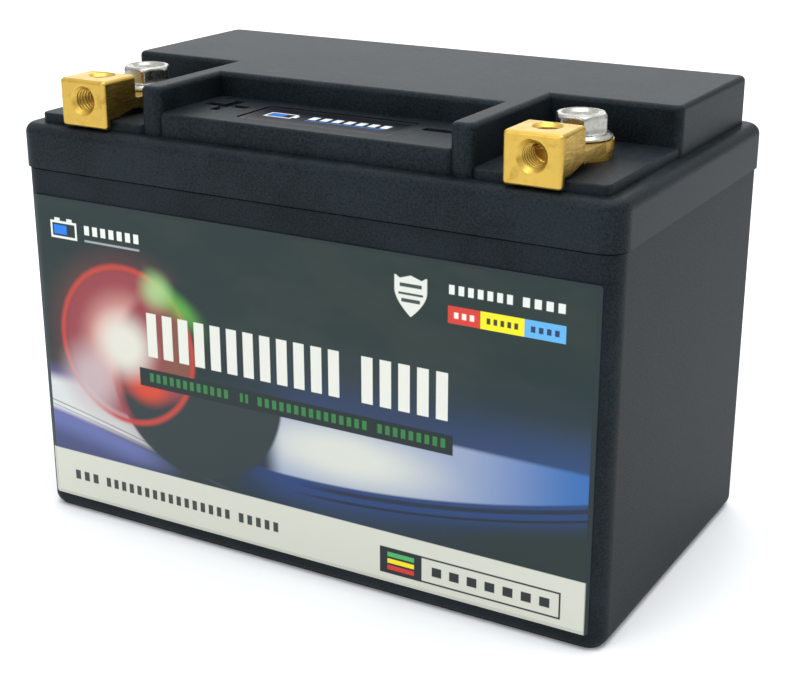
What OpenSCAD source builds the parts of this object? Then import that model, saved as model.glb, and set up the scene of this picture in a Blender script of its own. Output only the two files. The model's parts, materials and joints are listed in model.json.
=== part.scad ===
// Sealed lithium motorcycle battery in the 150 x 87 mm powersports case.
// Frame: X along the length, -Y is the labelled front, +Z up. The origin is the middle of the underside.

/* [Case] */
// Overall length across the lid skirt
lid_l = 150; // [148:0.5:152]
// Overall depth across the lid skirt
lid_d = 87; // [85:0.5:90]
// How far the tub stands in from the lid skirt on each side
skirt_step = 0.5; // [0.3:0.1:1]
// Height of the tub's shoulder, where the seam runs
seam_z = 86; // [84:0.5:90]
// Wall thickness of the tub
wall = 2.4; // [2:0.1:3]
// Radius of the tub's upright corners
corner_r = 4.5; // [4:0.5:6]
// Radius of the tub's bottom edge
foot_r = 2.5; // [1.5:0.5:3]
// Gap that shows as the seam line under the lid skirt
seam_gap = 0.3; // [0.2:0.05:0.5]

/* [Lid] */
// Height of the ledge that runs round the lid
ledge_z = 96.5; // [95:0.5:98]
// Radius of the ledge's outer edge
ledge_r = 2.4; // [1.5:0.1:3]
// Height of the raised back block and its two ribs
block_z = 107.5; // [106:0.5:109]
// How far the raised block stands in from the lid skirt
block_inset = 3.9; // [3:0.1:5]
// Radius of the raised block's top edges
block_edge_r = 1.2; // [0.6:0.1:1.6]
// Front wall of the raised block behind the terminals
pocket_back_y = -3; // [-6:0.5:0]
// Front wall of the raised block behind the centre platform
centre_back_y = -16.5; // [-18:0.5:-14]
// Outer face of each rib, from the middle
rib_x = 41.4; // [40:0.1:43]
// Width of each rib
rib_w = 5.4; // [4:0.1:6.5]
// Height of the centre platform
centre_z = 101.9; // [100:0.1:103]
// Height of the two terminal platforms
pad_z = 98.7; // [98:0.1:99.5]

/* [Terminals] */
// Distance of each terminal from the middle
term_x = 55.5; // [54:0.5:57]
// Where the clamping bolts stand, measured from the middle
post_y = -19; // [-21:0.5:-18]
// Radius of the post's bolt hole, for an M6 thread
post_bore_r = 3; // [3:0.01:3.05]
// Width of each brass adapter block
adapter_w = 12.8; // [12:0.1:14]
// Front face of the adapter block
adapter_front_y = -42.4; // [-43:0.1:-42]
// Depth of the adapter block, front to back
adapter_d = 11.4; // [10:0.1:12]
// Top of the adapter block
adapter_z = 107.9; // [107:0.1:109]
// Radius of the adapter's tapped holes, for M6
tap_r = 2.5; // [2.5:0.05:2.6]
// Width across the flats of the bolt head
bolt_af = 10; // [8:1:10]
// Length of the bolt under its head
bolt_len = 12; // [10:1:12]

/* [Label] */
// Thickness of the printed label
label_t = 0.3; // [0.2:0.05:0.4]
// Length of the label, which runs a little way round both corners
label_l = 143.2; // [138:0.2:145]
// Lowest edge of the label
label_z0 = 3.8; // [3.5:0.1:6]
// Highest edge of the label
label_z1 = 80; // [76:0.5:82]

/* [Cells] */
// Radius of one 26650 cell
cell_r = 13; // [12.8:0.1:13]
// Length of the cell's can, without its button
cell_can = 63.8; // [63:0.1:64]
// Distance between cells
cell_pitch = 27; // [26.8:0.1:27]

/* [Hidden] */
$fn = 48;
columns = 4;
rows = 3;

tub_l = lid_l - 2 * skirt_step;
tub_d = lid_d - 2 * skirt_step;
room_l = tub_l - 2 * wall;
room_d = tub_d - 2 * wall;
floor_z = wall + 0.2;
tongue_t = 1.1;
tongue_z = seam_z + 2.5;
seal_h = 0.8;
rebate_z = tongue_z + seal_h;
skirt_z = seam_z + seam_gap;
rebate_gap = 0.2;
roof = 2.4;

// Stack of parts inside, from the floor up
pad_h = 2;
sheet_t = 0.4;
bar_t = 0.4;
lip_t = 1.2;
holder_h = 8;
low_bar_z = floor_z + pad_h + sheet_t;
low_lip_z = low_bar_z + bar_t;
can_z = low_lip_z + lip_t;
can_top_z = can_z + cell_can;
top_bar_z = can_top_z + lip_t;
holder_top_z = top_bar_z - holder_h;
top_sheet_z = top_bar_z + bar_t + 0.3;
board_z = top_bar_z + 4.4;
board_t = 1.6;
board_top_z = board_z + board_t;
grid_l = (columns - 1) * cell_pitch + 2 * cell_r;
grid_d = (rows - 1) * cell_pitch + 2 * cell_r;
holder_l = grid_l + 2.4;
holder_d = grid_d + 0.8;
bar_w = 20.6;
bar_d = 74;
bar_r = 3;
dimple_r = 7;
window_r = 10.5;

// Protection board and its wiring
board_l = 76;
board_d = 56;
pillar_x = cell_pitch;
pillar_y = cell_pitch / 2;
pillar_r = 3;
screw_r = 1.25;
chip_z = 3.2;
plug_pins = 5;
pin_pitch = 2.5;
wire_r = 0.6;
wire_z = board_top_z + 3.4;
plug_front_y = -34;
lead_r = 1.9;

// Terminal stack, from the platform down
collar_r = 6.5;
collar_z = pad_z + 1.6;
post_r = 5;
boss_r = 8.5;
boss_z = 90;
washer_h = 1.4;
lug_t = 1.2;
lug_z = boss_z - washer_h - lug_t;
nut_h = 4;
nut_z = lug_z - nut_h;
post_low_z = nut_z - 0.8;
fit_gap = 0.05;
face_gap = 0.1;

// Adapter and bolt
tongue_low_z = collar_z + face_gap;
tongue_h = 2.2;
eye_r = 6.8;
eye_bore_r = 3.3;
head_z = tongue_low_z + tongue_h + face_gap;
adapter_low_z = ledge_z + 0.5;
step_z = pad_z + 0.3;
front_hole_z = adapter_z - 4.7;
front_hole_d = 7.2;
bolt_r = post_bore_r - 0.06;
flange_r = 6.6;
flange_h = 1.1;
head_h = 5.1;

// Nameplate and polarity signs on the centre platform
plate_l = 38.8;
plate_d = 14.4;
plate_y = -27.7;
plate_depth = 0.8;
sign_x = 28;
sign_l = 11;
sign_w = 2.4;
sign_depth = 0.6;

// ---- Shapes that repeat ----

// A rectangle centred on the origin with round corners
module plate(l, d, r) {
    square([l - 2 * r, d], center = true);
    square([l, d - 2 * r], center = true);
    for (x = [-1, 1], y = [-1, 1])
        translate([x * (l / 2 - r), y * (d / 2 - r)]) circle(r);
}

// A rounded rectangle given by its low and high corners, standing from z0 to z1
module slab(x0, x1, y0, y1, z0, z1, r) {
    translate([(x0 + x1) / 2, (y0 + y1) / 2, z0])
        linear_extrude(z1 - z0) plate(x1 - x0, y1 - y0, r);
}

// Upright outline from a to b and from z0 to z1, with its top corners rounded to e
module round_top(a, b, z0, z1, e) {
    translate([a, z0]) square([b - a, z1 - e - z0]);
    translate([a + e, z0]) square([b - a - 2 * e, z1 - z0]);
    for (x = [a + e, b - e])
        translate([x, z1 - e]) circle(e);
}

// A slab whose top edge is rounded to the radius e all the way round
module soft_slab(x0, x1, y0, y1, z0, z1, r, e) {
    translate([x0 + r, 0, 0]) rotate([90, 0, 90])
        linear_extrude(x1 - x0 - 2 * r) round_top(y0, y1, z0, z1, e);
    translate([0, y1 - r, 0]) rotate([90, 0, 0])
        linear_extrude(y1 - y0 - 2 * r) round_top(x0, x1, z0, z1, e);
    for (corner = [[x1 - r, y1 - r], [x0 + r, y1 - r], [x0 + r, y0 + r], [x1 - r, y0 + r]])
        translate([corner.x, corner.y, z0])
            rotate([0, 0, corner.x > x0 + r ? (corner.y > y0 + r ? 0 : 270) : (corner.y > y0 + r ? 90 : 180)])
                rotate_extrude(angle = 90) {
                    square([r - e, z1 - z0]);
                    square([r, z1 - e - z0]);
                    translate([r - e, z1 - e - z0]) intersection() {
                        circle(e);
                        square(e);
                    }
                }
}

// A round wire or lead that runs through the points, with round bends
module run_wire(points, r) {
    for (i = [0:len(points) - 2]) {
        a = points[i];
        b = points[i + 1];
        d = b - a;
        length = norm(d);
        translate(a) rotate([0, acos(d.z / length), atan2(d.y, d.x)])
            cylinder(r = r, h = length, $fn = 16);
        if (i > 0) translate(a) sphere(r, $fn = 16);
    }
}

// Places its children at the left terminal (side = -1) or the right one (side = 1)
module at_terminal(side) {
    translate([side * term_x, post_y, 0]) children();
}

// ---- Case ----

module case_tub() {
    color("#26292c") difference() {
        union() {
            translate([0, 0, seam_z]) mirror([0, 0, 1])
                soft_slab(-tub_l / 2, tub_l / 2, -tub_d / 2, tub_d / 2, 0, seam_z, corner_r, foot_r);
            linear_extrude(tongue_z)
                plate(room_l + 2 * tongue_t, room_d + 2 * tongue_t, corner_r - wall + tongue_t);
        }
        translate([0, 0, floor_z]) linear_extrude(tongue_z)
            plate(room_l, room_d, corner_r - wall);
    }
}

// The hollow under the lid, cut so that the roof keeps one thickness
module lid_hollow() {
    hollow_l = room_l + 0.4;
    hollow_d = room_d + 0.4;
    top_x = lid_l / 2 - block_inset - roof;
    top_y = lid_d / 2 - block_inset - roof;
    translate([0, 0, skirt_z - 1]) linear_extrude(rebate_z - skirt_z + 1)
        plate(room_l + 2 * tongue_t + 2 * rebate_gap, room_d + 2 * tongue_t + 2 * rebate_gap, 3.4);
    translate([0, 0, skirt_z]) linear_extrude(ledge_z - roof - skirt_z)
        plate(hollow_l, hollow_d, corner_r - wall);
    slab(-top_x, top_x, pocket_back_y + roof, top_y, seam_z, block_z - roof, 1.5);
    slab(-rib_x + roof, rib_x - roof, centre_back_y + roof, top_y / 2, seam_z, block_z - roof, 1.5);
    slab(-rib_x + rib_w + roof, rib_x - rib_w - roof, -top_y, 0, seam_z, centre_z - roof, 1.5);
    for (side = [-1, 1])
        slab(side * (rib_x + top_x + roof) / 2 - (top_x - rib_x - roof) / 2,
             side * (rib_x + top_x + roof) / 2 + (top_x - rib_x - roof) / 2,
             -top_y, 0, seam_z, pad_z - roof, 1.5);
}

// The raised block, its two ribs and the three platforms between them
module lid_relief() {
    out_x = lid_l / 2 - block_inset;
    out_y = lid_d / 2 - block_inset;
    low_z = ledge_z - roof;
    soft_slab(-out_x, out_x, pocket_back_y, out_y, low_z, block_z, 2, block_edge_r);
    soft_slab(-rib_x + rib_w / 2, rib_x - rib_w / 2, centre_back_y, out_y / 2, low_z, block_z, 2, block_edge_r);
    for (side = [-1, 1]) {
        rib_mid = side * (rib_x - rib_w / 2);
        soft_slab(rib_mid - rib_w / 2, rib_mid + rib_w / 2, -out_y - 0.3, 0, low_z, block_z, 2, block_edge_r);
        pad_mid = side * (rib_x + out_x) / 2;
        pad_half = (out_x - rib_x) / 2;
        soft_slab(pad_mid - pad_half - side * 0.5, pad_mid + pad_half - side * 0.5, -out_y - 0.2, 0,
                  low_z, pad_z, 2, 0.5);
    }
    soft_slab(-rib_x + rib_w - 0.8, rib_x - rib_w + 0.8, -out_y - 0.1, centre_back_y + 2,
              low_z, centre_z, 2, 0.8);
}

// The plus and minus signs, sunk into the centre platform
module polarity_signs() {
    translate([0, plate_y + 2.4, centre_z - sign_depth]) {
        translate([-sign_x - sign_l / 2, -sign_w / 2, 0]) cube([sign_l, sign_w, 2]);
        translate([-sign_x - sign_w / 2, -sign_l / 2, 0]) cube([sign_w, sign_l, 2]);
        translate([sign_x - sign_l / 2, -sign_w / 2, 0]) cube([sign_l, sign_w, 2]);
    }
}

module lid() {
    color("#2b2e31") difference() {
        union() {
            difference() {
                union() {
                    soft_slab(-lid_l / 2, lid_l / 2, -lid_d / 2, lid_d / 2, skirt_z, ledge_z,
                              corner_r + skirt_step, ledge_r);
                    lid_relief();
                }
                lid_hollow();
            }
            for (side = [-1, 1])
                at_terminal(side) translate([0, 0, boss_z]) cylinder(r = boss_r, h = pad_z - 1 - boss_z);
        }
        for (side = [-1, 1])
            at_terminal(side) translate([0, 0, boss_z - 1]) cylinder(r = post_r + fit_gap, h = 12);
        translate([0, plate_y, centre_z - plate_depth]) linear_extrude(3) plate(plate_l, plate_d, 1.5);
        polarity_signs();
    }
}

// The bead of sealant between the tub's tongue and the lid
module lid_seal() {
    color("#5a5a55") translate([0, 0, tongue_z]) linear_extrude(seal_h) difference() {
        plate(room_l + 2 * tongue_t, room_d + 2 * tongue_t, corner_r - wall + tongue_t);
        plate(room_l + 0.4, room_d + 0.4, corner_r - wall);
    }
}

module front_label() {
    color("#2f4442") intersection() {
        linear_extrude(label_z1) difference() {
            plate(tub_l + 2 * label_t, tub_d + 2 * label_t, corner_r + label_t);
            plate(tub_l, tub_d, corner_r);
        }
        translate([0, -tub_d / 2 + 3, (label_z0 + label_z1) / 2]) rotate([90, 0, 0])
            linear_extrude(5) plate(label_l, label_z1 - label_z0, 0.7);
    }
}

module lid_nameplate() {
    color("#15171a") translate([0, plate_y, centre_z - plate_depth])
        linear_extrude(plate_depth - 0.2) plate(plate_l - 0.4, plate_d - 0.4, 1.3);
}

// ---- Terminals ----

// Brass adapter: a block with one tapped hole in its front and one in its top, and an eye
// that the bolt clamps to the post. Its front lip hangs past the platform so that it can't turn.
module adapter(side) {
    y0 = adapter_front_y - post_y;
    y1 = y0 + adapter_d;
    lip_y = y0 + 2;
    hole_y = y0 + adapter_d / 2 + 1.3;
    at_terminal(side) color("#c9a24a") difference() {
        union() {
            translate([-adapter_w / 2, 0, 0]) rotate([90, 0, 90]) linear_extrude(adapter_w)
                polygon([[y0, adapter_low_z], [lip_y, adapter_low_z], [lip_y, step_z], [lip_y + 2.9, step_z],
                         [y1, tongue_low_z], [y1, adapter_z], [y0, adapter_z]]);
            translate([0, 0, tongue_low_z]) linear_extrude(tongue_h) {
                circle(eye_r);
                translate([-adapter_w / 2, y1 - 1]) square([adapter_w, -y1 + 1]);
            }
        }
        translate([0, 0, tongue_low_z - 1]) cylinder(r = eye_bore_r, h = tongue_h + 2);
        translate([0, y0, front_hole_z]) rotate([-90, 0, 0]) {
            cylinder(r = tap_r, h = front_hole_d);
            translate([0, 0, -0.01]) cylinder(r1 = tap_r + 1, r2 = tap_r, h = 1);
        }
        translate([0, hole_y, front_hole_z]) cylinder(r = tap_r, h = 10);
        translate([0, hole_y, adapter_z - 0.8]) cylinder(r1 = tap_r, r2 = tap_r + 0.81, h = 0.81);
    }
}

// Hex flange bolt that clamps the adapter to the post
module bolt(side) {
    corner = bolt_af / sqrt(3);
    at_terminal(side) color("#c9ccca") difference() {
        union() {
            translate([0, 0, head_z - bolt_len]) cylinder(r = bolt_r, h = bolt_len + 1);
            translate([0, 0, head_z]) cylinder(r = flange_r, h = flange_h * 0.6);
            translate([0, 0, head_z + flange_h * 0.6])
                cylinder(r1 = flange_r, r2 = corner - 0.2, h = flange_h);
            intersection() {
                translate([0, 0, head_z]) cylinder(r = corner, h = head_h, $fn = 6);
                translate([0, 0, head_z]) cylinder(r1 = corner + head_h, r2 = corner - 1, h = head_h + 0.01);
            }
        }
        translate([0, 0, head_z + head_h - 0.5]) cylinder(r1 = 2.9, r2 = 3.5, h = 0.6);
    }
}

// Brass post set through the lid: a collar above the platform, a blind bolt hole and a threaded stem
module post(side) {
    at_terminal(side) color("#b8933f") difference() {
        union() {
            translate([0, 0, pad_z]) cylinder(r = collar_r, h = collar_z - pad_z);
            translate([0, 0, post_low_z]) cylinder(r = post_r, h = collar_z - post_low_z);
        }
        translate([0, 0, head_z - bolt_len - 1]) cylinder(r = post_bore_r, h = 30);
    }
}

module post_seal(side) {
    at_terminal(side) color("#1b1b1b") translate([0, 0, boss_z - washer_h]) difference() {
        cylinder(r = boss_r - 0.3, h = washer_h);
        translate([0, 0, -1]) cylinder(r = post_r + fit_gap, h = washer_h + 2);
    }
}

// Crimped ring lug that joins a lead to the post
module lug(side) {
    barrel_y = 9.5;
    at_terminal(side) color("#b9bcc0") difference() {
        union() {
            translate([0, 0, lug_z]) cylinder(r = boss_r - 0.5, h = lug_t);
            translate([-3, 0, lug_z]) cube([6, barrel_y + 1, lug_t]);
            translate([0, barrel_y, lug_z + lug_t / 2]) rotate([-90, 0, 0]) cylinder(r = 2.8, h = 8);
        }
        translate([0, 0, lug_z - 1]) cylinder(r = post_r + fit_gap, h = lug_t + 2);
        translate([0, barrel_y + 1, lug_z + lug_t / 2]) rotate([-90, 0, 0]) cylinder(r = lead_r + fit_gap, h = 8);
    }
}

module post_nut(side) {
    at_terminal(side) color("#b0b3b5") translate([0, 0, nut_z]) difference() {
        cylinder(d = 14 * 2 / sqrt(3), h = nut_h, $fn = 6);
        translate([0, 0, -1]) cylinder(r = post_r + fit_gap, h = nut_h + 2);
    }
}

// ---- Cell pack ----

module base_pad() {
    color("#3a3a3a") translate([0, 0, floor_z]) linear_extrude(pad_h) plate(room_l - 1, room_d - 1, 2);
}

// Foam block that fills the room between the cells and one end of the tub
module end_foam(side) {
    inner_x = holder_l / 2 + 0.4;
    outer_x = room_l / 2 - 0.3;
    x0 = side > 0 ? inner_x : -outer_x;
    color("#4a4a4c") slab(x0, x0 + outer_x - inner_x, -room_d / 2 + 0.5, room_d / 2 - 0.5,
                          floor_z + pad_h, top_bar_z, 2);
}

module bottom_sheet() {
    color("#d8cfae") slab(-holder_l / 2, holder_l / 2, -holder_d / 2, holder_d / 2,
                          floor_z + pad_h, low_bar_z, 1);
}

module top_sheet() {
    color("#d8cfae") difference() {
        slab(-board_l / 2 - 1, board_l / 2 + 1, -board_d / 2 - 1, board_d / 2 + 1,
             top_sheet_z, top_sheet_z + sheet_t, 1);
        for (x = [-1, 1], y = [-1, 1])
            translate([x * pillar_x, y * pillar_y, top_sheet_z - 1]) cylinder(r = pillar_r + 0.3, h = 3);
    }
}

// Where cell number i stands; odd columns stand upright and even ones are turned over
function cell_x(i) = (floor(i / rows) - (columns - 1) / 2) * cell_pitch;
function cell_y(i) = (i % rows - (rows - 1) / 2) * cell_pitch;
function upright(i) = floor(i / rows) % 2 == 0;

// One end plate of the holder, from z0 up, with its lip on top
module holder_plate(z0) {
    difference() {
        slab(-holder_l / 2, holder_l / 2, -holder_d / 2, holder_d / 2, z0, z0 + holder_h, 2);
        for (i = [0:columns * rows - 1])
            translate([cell_x(i), cell_y(i), z0 - 1]) {
                cylinder(r = cell_r + 0.1, h = holder_h - lip_t + 1);
                cylinder(r = window_r, h = holder_h + 2);
            }
        for (x = [-pillar_x, pillar_x])
            translate([x, -holder_d / 2, z0 - 1]) cylinder(r = 2.4, h = holder_h + 2);
    }
}

module holder_bottom() {
    color("#e6e4da") translate([0, 0, low_lip_z + holder_h]) mirror([0, 0, 1]) holder_plate(0);
}

module holder_top() {
    color("#e6e4da") difference() {
        union() {
            holder_plate(holder_top_z);
            for (x = [-1, 1], y = [-1, 1])
                translate([x * pillar_x, y * pillar_y, top_bar_z - 1]) cylinder(r = pillar_r, h = board_z - top_bar_z + 1);
        }
        for (x = [-1, 1], y = [-1, 1])
            translate([x * pillar_x, y * pillar_y, board_z - 5]) cylinder(r = screw_r + 0.05, h = 6);
    }
}

// A 26650 cell: shrink-wrapped can with a button on its positive end
module cell(i) {
    turn = upright(i) ? 0 : 1;
    color("#2f7fb5") translate([cell_x(i), cell_y(i), can_z + cell_can / 2]) mirror([0, 0, turn]) {
        translate([0, 0, -cell_can / 2]) cylinder(r = cell_r, h = cell_can);
        translate([0, 0, cell_can / 2]) cylinder(r = 5, h = lip_t);
    }
}

// Nickel strip over some columns. It is pressed down to reach the flat ends in the columns of sunk.
module bar(first, last, z, sunk, toward) {
    x0 = cell_x(first * rows) - bar_w / 2;
    x1 = cell_x(last * rows) + bar_w / 2;
    color("#c8c6bd") {
        slab(x0, x1, -bar_d / 2, bar_d / 2, z, z + bar_t, bar_r);
        for (row = [0:rows - 1])
            translate([cell_x(sunk * rows), cell_y(row), toward > 0 ? z : z - lip_t])
                cylinder(r = dimple_r, h = lip_t + bar_t);
    }
}

// The tab on a lower link that its sense wire is soldered to
module link_tab(x) {
    color("#c8c6bd") slab(x - 2, x + 2, -bar_d / 2 - 2.6, -bar_d / 2 + 4, low_bar_z, low_bar_z + bar_t, 1);
}

module bar_positive() {
    color("#c8c6bd") slab(cell_x(0) - bar_w / 2, cell_x(0) + bar_w / 2, -bar_d / 2, bar_d / 2,
                          top_bar_z, top_bar_z + bar_t, bar_r);
}

module bar_negative() {
    bar(3, 3, top_bar_z, 3, -1);
}

module link_top() {
    bar(1, 2, top_bar_z, 1, -1);
}

module link_bottom_left() {
    bar(0, 1, low_bar_z, 0, 1);
    link_tab(-pillar_x);
}

module link_bottom_right() {
    bar(2, 3, low_bar_z, 2, 1);
    link_tab(pillar_x);
}

// ---- Protection board ----

module protection_board() {
    color("#1f5e3a") difference() {
        slab(-board_l / 2, board_l / 2, -board_d / 2, board_d / 2, board_z, board_top_z, 1.5);
        for (x = [-1, 1], y = [-1, 1])
            translate([x * pillar_x, y * pillar_y, board_z - 1]) cylinder(r = screw_r + 0.2, h = 4);
    }
}

// Two rows of power switches
module switch_chips() {
    color("#202225") for (column = [0:4], row = [0, 1])
        translate([-28 + column * 11, -3 + row * 20, board_top_z]) cube([8, 8, chip_z]);
}

module board_screws() {
    color("#b0b3b5") for (x = [-1, 1], y = [-1, 1])
        translate([x * pillar_x, y * pillar_y, board_top_z]) {
            translate([0, 0, -5]) cylinder(r = screw_r, h = 6);
            difference() {
                cylinder(r = 2.5, h = 1.9);
                translate([-0.3, -1.6, 1.2]) cube([0.6, 3.2, 1]);
                translate([-1.6, -0.3, 1.2]) cube([3.2, 0.6, 1]);
            }
        }
}

module balance_header() {
    color("#efeee6") difference() {
        translate([-8, plug_front_y + 6.2, board_top_z]) cube([16, 5.8, 6.4]);
        translate([-7, plug_front_y + 5, board_top_z + 1]) cube([14, 6, 4.4]);
    }
}

module balance_plug() {
    color("#e2e0d6") difference() {
        translate([-6.9, plug_front_y, board_top_z + 1.1]) cube([13.8, 9, 4.2]);
        for (pin = [0:plug_pins - 1])
            translate([(pin - 2) * pin_pitch, plug_front_y - 1, wire_z]) rotate([-90, 0, 0])
                cylinder(r = wire_r + fit_gap, h = 5);
    }
}

// Five thin wires from the plug to the joints between the cell groups
module sense_wires() {
    start_y = plug_front_y + 3.5;
    near_y = plug_front_y - 1.6;
    far_y = plug_front_y - 5.2;
    top_z = top_bar_z + bar_t;
    low_z = low_bar_z + bar_t;
    color("#b8322a") {
        run_wire([[-2 * pin_pitch, start_y, wire_z], [-2 * pin_pitch, near_y, wire_z],
                  [cell_x(0), near_y, wire_z], [cell_x(0), near_y, top_z]], wire_r);
        run_wire([[-pin_pitch, start_y, wire_z], [-pin_pitch, far_y, wire_z],
                  [-pillar_x, far_y, wire_z], [-pillar_x, far_y, low_z]], wire_r);
        run_wire([[0, start_y, wire_z], [0, near_y, wire_z], [0, near_y, top_z]], wire_r);
        run_wire([[pin_pitch, start_y, wire_z], [pin_pitch, far_y, wire_z],
                  [pillar_x, far_y, wire_z], [pillar_x, far_y, low_z]], wire_r);
        run_wire([[2 * pin_pitch, start_y, wire_z], [2 * pin_pitch, near_y, wire_z],
                  [cell_x(9), near_y, wire_z], [cell_x(9), near_y, top_z]], wire_r);
    }
}

// Heavy leads: pack to left post, pack to board, board to right post
module lead_positive() {
    lug_end = post_y + 11;
    lug_mid = lug_z + lug_t / 2;
    color("#b8322a")
        run_wire([[cell_x(0) - 6, 12, top_bar_z + bar_t], [cell_x(0) - 6, 12, lug_mid],
                  [-term_x, 12, lug_mid], [-term_x, lug_end, lug_mid]], lead_r);
}

module lead_pack_negative() {
    color("#1b1b1b")
        run_wire([[cell_x(9) + 4, 20, top_bar_z + bar_t], [cell_x(9) + 4, 20, board_top_z + 5],
                  [board_l / 2 - 4, 20, board_top_z + 5], [board_l / 2 - 4, 20, board_top_z]], lead_r);
}

module lead_negative() {
    lug_end = post_y + 11;
    lug_mid = lug_z + lug_t / 2;
    color("#1b1b1b")
        run_wire([[board_l / 2 - 5, 2, board_top_z], [board_l / 2 - 5, 2, lug_mid],
                  [term_x, 2, lug_mid], [term_x, lug_end, lug_mid]], lead_r);
}

case_tub();
lid();
lid_seal();
front_label();
lid_nameplate();
adapter(-1);  // adapter_left
adapter(1);  // adapter_right
bolt(-1);  // bolt_left
bolt(1);  // bolt_right
post(-1);  // post_left
post(1);  // post_right
post_seal(-1);  // post_seal_left
post_seal(1);  // post_seal_right
lug(-1);  // lug_left
lug(1);  // lug_right
post_nut(-1);  // post_nut_left
post_nut(1);  // post_nut_right
base_pad();
end_foam(-1);  // end_foam_left
end_foam(1);  // end_foam_right
bottom_sheet();
top_sheet();
holder_bottom();
holder_top();
for (i = [0:columns * rows - 1])
    cell(i);
bar_positive();
bar_negative();
link_top();
link_bottom_left();
link_bottom_right();
protection_board();
switch_chips();
board_screws();
balance_header();
balance_plug();
sense_wires();
lead_positive();
lead_pack_negative();
lead_negative();
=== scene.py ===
"""Looks of the sealed motorcycle battery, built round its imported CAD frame.

Frame: metres, X along the length, -Y is the labelled front, +Z up. The origin is the middle of the underside.
"""

import json
import math

import bmesh
import bpy
from mathutils import Matrix, Vector


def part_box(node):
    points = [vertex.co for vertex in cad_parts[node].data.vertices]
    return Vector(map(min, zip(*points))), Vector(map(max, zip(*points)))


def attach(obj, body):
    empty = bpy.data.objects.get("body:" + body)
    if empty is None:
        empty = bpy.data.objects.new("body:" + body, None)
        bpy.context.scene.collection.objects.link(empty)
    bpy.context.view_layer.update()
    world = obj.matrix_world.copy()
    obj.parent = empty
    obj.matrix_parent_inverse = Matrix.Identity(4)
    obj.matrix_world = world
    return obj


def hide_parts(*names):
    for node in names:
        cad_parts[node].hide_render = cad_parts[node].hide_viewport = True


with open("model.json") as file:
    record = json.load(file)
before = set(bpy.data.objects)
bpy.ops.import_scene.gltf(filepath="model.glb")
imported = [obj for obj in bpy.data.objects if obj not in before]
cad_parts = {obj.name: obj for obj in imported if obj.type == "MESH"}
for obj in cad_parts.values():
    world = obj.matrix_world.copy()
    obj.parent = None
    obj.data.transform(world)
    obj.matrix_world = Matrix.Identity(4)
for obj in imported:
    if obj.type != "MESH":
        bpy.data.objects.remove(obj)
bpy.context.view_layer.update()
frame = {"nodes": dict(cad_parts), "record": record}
NODES = frame["nodes"]
MM = 0.001
MM_PER_M = 1000.0

# ---------------------------------------------------------------- camera, lights and stage

SENSOR = 36.0
LENS = 70.6
AIM = Vector((2.26, 0.0, 43.15)) * MM
AZIMUTH = math.radians(29.73)
ELEVATION = math.radians(19.76)
DISTANCE = 379.7 * MM


def put_camera():
    """Camera at the photo's angle, aimed at AIM."""
    data = bpy.data.cameras.new("view_camera")
    data.sensor_width = SENSOR
    data.lens = LENS
    data.clip_start = 0.01
    data.clip_end = 50
    camera = bpy.data.objects.new("view_camera", data)
    back = Vector(
        (
            math.sin(AZIMUTH) * math.cos(ELEVATION),
            -math.cos(AZIMUTH) * math.cos(ELEVATION),
            math.sin(ELEVATION),
        )
    )
    camera.location = AIM + back * DISTANCE
    camera.rotation_euler = (-back).to_track_quat("-Z", "Y").to_euler()
    bpy.context.scene.collection.objects.link(camera)
    bpy.context.scene.camera = camera


LIT_POINT = Vector((0, 0, 50)) * MM
# The sky brightens with the height of the direction, from -1 straight down to 1 straight up
SKY_COLOUR = (0.93, 0.97, 1.0, 1)
SKY_HEIGHTS = (-0.05, 0.75)
SKY_STRENGTHS = (0.42, 1.12)


def softbox(name, place, size, watts):
    """A rectangular lamp at a place in metres, turned to LIT_POINT."""
    data = bpy.data.lights.new(name, "AREA")
    data.shape = "RECTANGLE"
    data.size, data.size_y = size
    data.energy = watts
    lamp = bpy.data.objects.new(name, data)
    lamp.location = place
    lamp.rotation_euler = (LIT_POINT - Vector(place)).to_track_quat("-Z", "Y").to_euler()
    bpy.context.scene.collection.objects.link(lamp)


def put_sky():
    world = bpy.data.worlds.new("studio")
    world.use_nodes = True
    tree = world.node_tree
    sky = tree.nodes["Background"]
    sky.inputs["Color"].default_value = SKY_COLOUR
    split = tree.nodes.new("ShaderNodeSeparateXYZ")
    climb = tree.nodes.new("ShaderNodeMapRange")
    climb.interpolation_type = "SMOOTHSTEP"
    for socket, number in zip(list(climb.inputs)[1:5], SKY_HEIGHTS + SKY_STRENGTHS):
        socket.default_value = number
    tree.links.new(tree.nodes.new("ShaderNodeTexCoord").outputs["Generated"], split.inputs[0])
    tree.links.new(split.outputs["Z"], climb.inputs["Value"])
    tree.links.new(climb.outputs["Result"], sky.inputs["Strength"])
    bpy.context.scene.world = world


def put_softboxes():
    softbox("top_softbox", (0.1, 0.0, 1.2), (1.2, 0.9), 9.0)
    softbox("back_softbox", (-0.55, 0.95, 0.5), (0.9, 0.5), 2.0)
    softbox("right_softbox", (1.0, 0.25, 0.35), (0.4, 0.6), 0.4)
    softbox("front_softbox", (-0.3, -1.1, 0.6), (0.5, 0.5), 2.2)


# ---------------------------------------------------------------- materials from node arithmetic


def paint(red, green, blue):
    """A colour given in 0 to 255 screen values, as the linear colour that shaders use."""
    linear = []
    for value in (red, green, blue):
        share = value / 255
        linear.append(share / 12.92 if share < 0.04045 else ((share + 0.055) / 1.055) ** 2.4)
    return (*linear, 1.0)


class Amount:
    """A number that varies over a surface. Arithmetic on it adds Math nodes to its material."""

    def __init__(self, graph, socket):
        self.graph, self.socket = graph, socket

    def __add__(self, other):
        return self.graph.math("ADD", self, other)

    __radd__ = __add__

    def __sub__(self, other):
        return self.graph.math("SUBTRACT", self, other)

    def __rsub__(self, other):
        return self.graph.math("SUBTRACT", other, self)

    def __mul__(self, other):
        return self.graph.math("MULTIPLY", self, other)

    __rmul__ = __mul__

    def __abs__(self):
        return self.graph.math("ABSOLUTE", self)


COAT_ROUGHNESS = 0.06
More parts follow.
